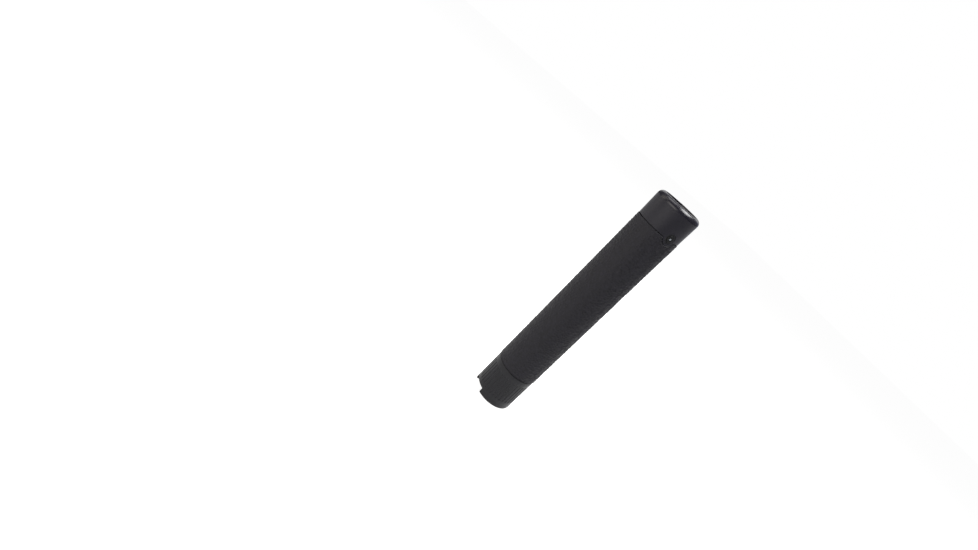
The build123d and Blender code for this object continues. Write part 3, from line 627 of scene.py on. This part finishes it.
gripSleeve = makeGripSleeve(sleeveSizes)
print("grip sleeve moulded:", len(gripSleeve.data.polygons), "faces")


bezelSizes = {
    "round": 3.8,
    "openingRadius": 12.8,
    "openingEdge": 0.25,
    "socketRadius": 14.5,
    "skirtRadius": 15.8,
    "threadPitch": 1.0,
    "threadDepth": 0.35,
    "threadHalf": 0.4,  # half a groove's width, as a share of the pitch
    "grooveRadius": 15.05,  # the O-ring's groove
    "grooveHeight": 1.1,
    "grooveLand": 0.6,
    "around": 192,
}


def makeBezel(sizes):
    top, bottom = high("bezel_ring"), low("bezel_ring")
    radius = high("bezel_ring", 0)
    seam = top - sizes["round"]
    groove = seam - sizes["grooveLand"]
    threadTop = groove - sizes["grooveHeight"] - sizes["grooveLand"]
    outline = [
        (radius, seam),
        (radius, top, sizes["round"]),
        (sizes["openingRadius"], top, sizes["openingEdge"]),
        (sizes["openingRadius"], high("front_lens")),
        (sizes["socketRadius"], high("front_lens")),
        (sizes["socketRadius"], bottom),
        (sizes["skirtRadius"], bottom),
    ]
    turns = int((threadTop - bottom) / sizes["threadPitch"])
    for turn in range(turns):
        foot = bottom + (threadTop - bottom) * (turn + 0.5) / turns
        outline += [
            (sizes["skirtRadius"], foot - sizes["threadHalf"] * sizes["threadPitch"]),
            (sizes["skirtRadius"] - sizes["threadDepth"], foot),
            (sizes["skirtRadius"], foot + sizes["threadHalf"] * sizes["threadPitch"]),
        ]
    outline += [
        (sizes["skirtRadius"], groove - sizes["grooveHeight"]),
        (sizes["grooveRadius"], groove - sizes["grooveHeight"]),
        (sizes["grooveRadius"], groove),
        (sizes["skirtRadius"], groove),
        (sizes["skirtRadius"], seam),
    ]
    build = turned(roundedOutline(outline, 12), evenAngles(sizes["around"]))
    return makePiece("bezelRing", build, bezelFinish, "light_body", ["bezel_ring"])


makeBezel(bezelSizes)
print("bezel ring turned")


lensSizes = {"edge": 0.3, "around": 192}


def makeLens(sizes):
    bottom, top, radius = low("front_lens"), high("front_lens"), high("front_lens", 0)
    edge = sizes["edge"]
    outline = roundedOutline([(0, bottom), (radius, bottom, edge), (radius, top, edge), (0, top)], 3)
    return makePiece("frontLens", turned(outline, evenAngles(sizes["around"])), materials["lens_glass"],
                     "light_body", ["front_lens"])


makeLens(lensSizes)
print("lens ground")


reflectorSizes = {
    "wall": 0.9,
    "rim": 1.2,
    "openingRadius": 13.1,
    "steps": 44,
    "crowding": 1.6,  # over 1 puts more rows near the foot, where the curve is tightest
    "around": 192,
}


def makeReflector(sizes):
    # a parabola with its focus on the chip, from the hole over the LED to the rim under the lens
    top, bottom = high("reflector"), low("reflector")
    rimRadius = high("reflector", 0)
    focusHeight = high("led_phosphor")
    depth, opening = top - focusHeight, sizes["openingRadius"]
    focalLength = (math.sqrt(depth * depth + opening * opening) - depth) / 2
    vertex = focusHeight - focalLength

    def curve(upper, wall):
        rows = []
        for step in range(sizes["steps"] + 1):
            height = bottom + (upper - bottom) * (step / sizes["steps"]) ** sizes["crowding"]
            rows.append((2 * math.sqrt(focalLength * (height - vertex)) + wall, height))
        return rows

    rimFoot = top - sizes["rim"]
    outline = curve(top, 0) + [(rimRadius, top), (rimRadius, rimFoot)]
    outline += reversed(curve(rimFoot, sizes["wall"]))
    return makePiece("reflectorBowl", turned(outline, evenAngles(sizes["around"])),
                     materials["reflector_metal"], "light_body", ["reflector"])


makeReflector(reflectorSizes)
print("reflector spun")


domeSizes = {"radius": 2.4, "steps": 16, "around": 64}


def makeDome(sizes):
    bottom, top = low("led_dome"), high("led_dome")
    rows = []
    for step in range(sizes["steps"]):
        angle = math.pi / 2 * step / sizes["steps"]
        rows.append((sizes["radius"] * math.cos(angle), bottom + (top - bottom) * math.sin(angle)))
    rows += [(0, top), (0, bottom)]
    return makePiece("ledDome", turned(rows, evenAngles(sizes["around"])), materials["silicone_dome"],
                     "light_body", ["led_dome"])


makeDome(domeSizes)
print("dome moulded")


capSizes = {
    "outerRadius": 16.65,
    "slotDepth": 4.2,
    "slotHalf": 7.5,
    "recessRadius": 10.4,
    "recessDepth": 5.2,
    "bootHole": 7.6,
    "bootChamber": 11.05,
    "bootFlange": 1.2,
    "boardChamber": 13.3,
    "threadBore": 15.3,
    "edge": 0.3,
    "tailRound": 1.3,
    "guardEdge": 0.35,
    "guardAround": 128,
    "holeRadius": 1.25,  # the lanyard hole
    "holeHeight": 2.6,
    "fluteCount": 36,
    "fluteRadius": 0.9,
    "fluteDepth": 0.4,
    "fluteFoot": 7.5,
    "fluteTop": 26.5,
    "fluteAcross": (-1, -0.72, -0.36, 0, 0.36, 0.72, 1),  # its columns, as shares of half its width
    "fluteEnds": (0.0, 0.1, 0.3, 0.5, 0.75, 1.0),  # rows at its rounded ends, as shares of the same
    "landSteps": 3,
    "surfaceSlack": 0.01,  # less than this inside the outer radius still counts as the surface
}


def boredAcross(wall, radius, height, reach):  # the lanyard hole, drilled along +Y through one guard
    drill = bmesh.new()
    lay = Matrix.Translation((0, reach * mm, height * mm)) @ Matrix.Rotation(math.pi / 2, 4, "X")
    bmesh.ops.create_cone(drill, cap_ends=True, segments=40, radius1=radius * mm, radius2=radius * mm,
                          depth=reach * mm, matrix=lay)
    drillMesh = bpy.data.meshes.new("drill")
    drill.to_mesh(drillMesh)
    drill.free()
    bit = bpy.data.objects.new("drill", drillMesh)
    blank = bpy.data.objects.new("blank", wall)
    for thing in (bit, blank):
        scene.collection.objects.link(thing)
    cut = blank.modifiers.new("cut", "BOOLEAN")
    cut.operation, cut.solver, cut.object = "DIFFERENCE", "EXACT", bit
    graph = bpy.context.evaluated_depsgraph_get()
    bored = bpy.data.meshes.new_from_object(blank.evaluated_get(graph))
    for thing in (bit, blank):
        bpy.data.objects.remove(thing)
    for used in (drillMesh, wall):
        bpy.data.meshes.remove(used)
    return bored


def addGuard(build, sizes, side):
    # one of the two walls beside the boot: a ring cut off square at the slot, its cut ends bevelled
    ring = turned(roundedOutline([
        (sizes["recessRadius"], 0, sizes["guardEdge"]),
        (sizes["outerRadius"], 0, sizes["tailRound"]),
        (sizes["outerRadius"], sizes["slotDepth"] + sizes["edge"]),
        (sizes["recessRadius"], sizes["slotDepth"] + sizes["edge"]),
    ], 6), evenAngles(sizes["guardAround"]))
    everything = ring.verts[:] + ring.edges[:] + ring.faces[:]
    bmesh.ops.bisect_plane(ring, geom=everything, plane_co=(0, side * sizes["slotHalf"] * mm, 0),
                           plane_no=(0, -side, 0), clear_outer=True)
    rims = [edge for edge in ring.edges if edge.is_boundary]
    ends = bmesh.ops.edgeloop_fill(ring, edges=rims)["faces"]
    bmesh.ops.recalc_face_normals(ring, faces=ring.faces)
    cornerEdges = list({edge for end in ends for edge in end.edges})
    bmesh.ops.bevel(ring, geom=cornerEdges, offset=sizes["guardEdge"] * mm, segments=3, profile=0.5,
                    affect="EDGES", clamp_overlap=True)
    wall = bpy.data.meshes.new("guard")
    ring.to_mesh(wall)
    ring.free()
    if side > 0:
        wall = boredAcross(wall, sizes["holeRadius"], sizes["holeHeight"], sizes["outerRadius"])
    build.from_mesh(wall)
    bpy.data.meshes.remove(wall)


def makeTailCap(sizes):
    top = high("tail_cap")
    radius = sizes["outerRadius"]
    boardFoot, ringTop = low("tail_board"), high("tail_retaining_ring")
    seat = high("tail_boot") - sizes["bootFlange"]
    centreOut = sizes["fluteRadius"] - sizes["fluteDepth"]  # of the flute's cutter, off the surface
    halfWidth = math.sqrt(sizes["fluteRadius"] ** 2 - centreOut ** 2)
    pitchAngle = 2 * math.pi / sizes["fluteCount"]

    angles = []
    for flute in range(sizes["fluteCount"]):
        cuts = [halfWidth * share for share in sizes["fluteAcross"]]
        land = pitchAngle * radius - 2 * halfWidth
        cuts += [halfWidth + land * step / (sizes["landSteps"] + 1)
                 for step in range(1, sizes["landSteps"] + 1)]
        angles += [flute * pitchAngle + cut / radius for cut in cuts]

    def fluted(reach, height, angle):
        if reach < radius - sizes["surfaceSlack"]:
            return reach
        across = ((angle / pitchAngle + 0.5) % 1.0 - 0.5) * pitchAngle * radius
        beyond = max(sizes["fluteFoot"] + halfWidth - height, height - sizes["fluteTop"] + halfWidth, 0.0)
        distance = math.hypot(across, beyond)
        if distance >= halfWidth:
            return reach
        return reach + centreOut - math.sqrt(sizes["fluteRadius"] ** 2 - distance ** 2)

    edge = sizes["edge"]
    outline = roundedOutline([
        (sizes["recessRadius"], sizes["slotDepth"], edge),
        (radius, sizes["slotDepth"], edge),
        (radius, top, edge),
        (sizes["threadBore"], top, edge),
        (sizes["threadBore"], ringTop),
        (sizes["boardChamber"], ringTop),
        (sizes["boardChamber"], boardFoot),
        (sizes["bootChamber"], boardFoot),
        (sizes["bootChamber"], seat),
        (sizes["bootHole"], seat),
        (sizes["bootHole"], sizes["recessDepth"], edge),
        (sizes["recessRadius"], sizes["recessDepth"]),
    ], 3)
    endRows = [halfWidth * share for share in sizes["fluteEnds"]]
    rows = [sizes["fluteFoot"] + row for row in endRows]
    rows += [sizes["fluteTop"] - row for row in reversed(endRows)]
    place = next(index for index, (reach, height) in enumerate(outline)
                 if reach > radius - sizes["surfaceSlack"] and height > sizes["fluteTop"])
    outline[place:place] = [Vector((radius, row)) for row in rows]
    build = turned(outline, angles, fluted)
    for side in (1, -1):
        addGuard(build, sizes, side)
    return makePiece("tailCap", build, materials["anodised_aluminium"], "tail_cap", ["tail_cap"])


tailCap = makeTailCap(capSizes)
print("tail cap turned and fluted:", len(tailCap.data.polygons), "faces")


tailBootSizes = {
    "radius": 7.3,
    "skin": 1.0,
    "flange": 1.2,
    "faceRound": 1.6,
    "neckRound": 0.3,
    "flangeEdge": 0.2,
    "insideRound": 1.0,
    "ridge": 0.16,  # rings for the thumb to feel
    "ridgeCount": 4,
    "ridgeStart": 0.75,  # the first ring's place, its foot and its crown, as shares of the spacing
    "ridgeFoot": 0.3,
    "ridgeCrown": 0.12,
    "ridgeMargin": 0.5,
    "longWall": 0.8,  # walls longer than this get extra rows
    "bendRows": 7,
}


def makeTailBoot(sizes):
    bottom, top, flangeRadius = low("tail_boot"), high("tail_boot"), high("tail_boot", 0)
    radius, skin = sizes["radius"], sizes["skin"]
    face = []
    spacing = (radius - sizes["faceRound"]) / (sizes["ridgeCount"] + sizes["ridgeMargin"])
    crown, foot = sizes["ridgeCrown"] * spacing, sizes["ridgeFoot"] * spacing
    for ridge in range(sizes["ridgeCount"]):
        ringRadius = spacing * (ridge + sizes["ridgeStart"])
        face += [(ringRadius - foot, bottom + sizes["ridge"]), (ringRadius - crown, bottom),
                 (ringRadius + crown, bottom), (ringRadius + foot, bottom + sizes["ridge"])]
    edge = sizes["flangeEdge"]
    outline = [(0, bottom + sizes["ridge"])] + face + [
        (radius, bottom + sizes["ridge"], sizes["faceRound"]),
        (radius, top - sizes["flange"], sizes["neckRound"]),
        (flangeRadius, top - sizes["flange"], edge),
        (flangeRadius, top, edge),
        (radius - skin, top, edge),
        (radius - skin, bottom + skin, sizes["insideRound"]),
        (0, bottom + skin),
    ]
    build = turned(roundedOutline(outline, 6), evenAngles(96))
    walls = [wall for wall in build.edges
             if abs(wall.verts[0].co.z - wall.verts[1].co.z) > sizes["longWall"] * mm]
    bmesh.ops.subdivide_edges(build, edges=walls, cuts=sizes["bendRows"])
    piece = makePiece("tailBoot", build, materials["boot_rubber"], None, ["tail_boot"], 40)
    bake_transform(piece)
    return piece


makeTailBoot(tailBootSizes)
print("tail boot moulded")


sideBootSizes = {
    "radius": 2.4,
    "flange": 0.4,
    "skin": 0.6,
    "round": 0.6,
    "neckEdge": 0.08,
    "insideRound": 0.2,
    "window": 0.7,
    "dimpleDepth": 0.12,  # round the window
    "dimpleFloor": 0.35,  # how far its floor and its rim reach past the window
    "dimpleRim": 0.55,
    "dimpleEdge": 0.1,
    "windowEdge": 0.05,
}


def makeSideBoot(sizes):
    # turned about an upright axis first, then laid along -Y at the switch's height
    seat, face = -high("side_boot", 1), -low("side_boot", 1)
    flangeRadius = high("side_boot", 0)
    height = (low("side_boot") + high("side_boot")) / 2
    outline = roundedOutline([
        (sizes["window"], face - sizes["skin"]),
        (sizes["radius"] - sizes["skin"], face - sizes["skin"], sizes["insideRound"]),
        (sizes["radius"] - sizes["skin"], seat),
        (flangeRadius, seat),
        (flangeRadius, seat + sizes["flange"]),
        (sizes["radius"], seat + sizes["flange"], sizes["neckEdge"]),
        (sizes["radius"], face, sizes["round"]),
        (sizes["window"] + sizes["dimpleRim"], face, sizes["dimpleEdge"]),
        (sizes["window"] + sizes["dimpleFloor"], face - sizes["dimpleDepth"], sizes["dimpleEdge"]),
        (sizes["window"], face - sizes["dimpleDepth"], sizes["windowEdge"]),
    ], 5)
    build = turned(outline, evenAngles(96))
    lay = Matrix.Translation((0, 0, height * mm)) @ Matrix.Rotation(math.pi / 2, 4, "X")
    bmesh.ops.transform(build, matrix=lay, verts=build.verts)
    piece = makePiece("sideBoot", build, materials["boot_rubber"], None, ["side_boot"], 40)
    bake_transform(piece)
    return piece


makeSideBoot(sideBootSizes)
print("side boot moulded")


springSizes = {  # wire is its radius; a spring with no body is left unattached and baked in place
    "tail_spring": {"turns": 4.5, "bottomRadius": 7.6, "topRadius": 4.6, "wire": 0.5,
                    "body": "tail_contact", "slot": "gold_spring"},
    "driver_spring": {"turns": 3.5, "bottomRadius": 3.6, "topRadius": 5.2, "wire": 0.5,
                      "body": "light_body", "slot": "gold_spring"},
    "tail_switch_spring": {"turns": 3.5, "bottomRadius": 2.4, "topRadius": 2.4, "wire": 0.12,
                           "body": None, "slot": "spring_steel"},
}


def springTree():
    tree, given = startTree("springCoil", {
        name: "Float" for name in ("Turns", "Bottom Radius", "Top Radius", "Foot", "Rise", "Wire")})
    spiral = addNode(tree, "GeometryNodeCurveSpiral", inputs={
        "Resolution": 48, "Rotations": given["Turns"], "Start Radius": given["Bottom Radius"],
        "End Radius": given["Top Radius"], "Height": 0.0})
    along = addNode(tree, "GeometryNodeSplineParameter").outputs["Factor"]
    lift = addNode(tree, "ShaderNodeMapRange", {"interpolation_type": "SMOOTHSTEP"}, {
        "Value": along, "From Min": 0.06, "From Max": 0.94})  # the end turns lie flat, as ground ends do
    height = addNode(tree, "ShaderNodeMath", {"operation": "MULTIPLY_ADD"}, {
        0: lift.outputs["Result"], 1: given["Rise"], 2: given["Foot"]})
    offset = addNode(tree, "ShaderNodeCombineXYZ", inputs={"Z": height.outputs[0]})
    wound = addNode(tree, "GeometryNodeSetPosition", inputs={
        "Geometry": spiral.outputs["Curve"], "Offset": offset.outputs["Vector"]})
    section = addNode(tree, "GeometryNodeCurvePrimitiveCircle", inputs={
        "Resolution": 14, "Radius": given["Wire"]})
    wire = addNode(tree, "GeometryNodeCurveToMesh", inputs={
        "Curve": wound.outputs["Geometry"], "Profile Curve": section.outputs["Curve"], "Fill Caps": True})
    return endTree(tree, wire.outputs["Mesh"], given["Finish"])


coilTree = springTree()
for node, sizes in springSizes.items():
    foot, rise = low(node) + sizes["wire"], high(node) - low(node) - 2 * sizes["wire"]
    finish = materials[sizes["slot"]]
    build = grow(coilTree, {
        "Turns": sizes["turns"], "Bottom Radius": sizes["bottomRadius"] * mm,
        "Top Radius": sizes["topRadius"] * mm, "Foot": foot * mm, "Rise": rise * mm,
        "Wire": sizes["wire"] * mm, "Finish": finish})
    words = node.split("_")
    pieceName = words[0] + "".join(word.capitalize() for word in words[1:]) + "Coil"
    spring = makePiece(pieceName, build, finish, sizes["body"], [node], 40)
    if not sizes["body"]:  # this one sits between the switch body and the plunger, and is baked in place
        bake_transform(spring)
print("springs wound")


# the nodes that keep their CAD mesh get the finish of their slot, and the barrel its own
slotOf = {part["node"]: part["material_slot"] for part in frame["record"]["subparts"]}
for nodeName, node in frame["nodes"].items():
    finish = headFinish if nodeName == "barrel" else materials[slotOf[nodeName]]
    for slot in node.material_slots:
        slot.material = finish
print("finishes assigned")
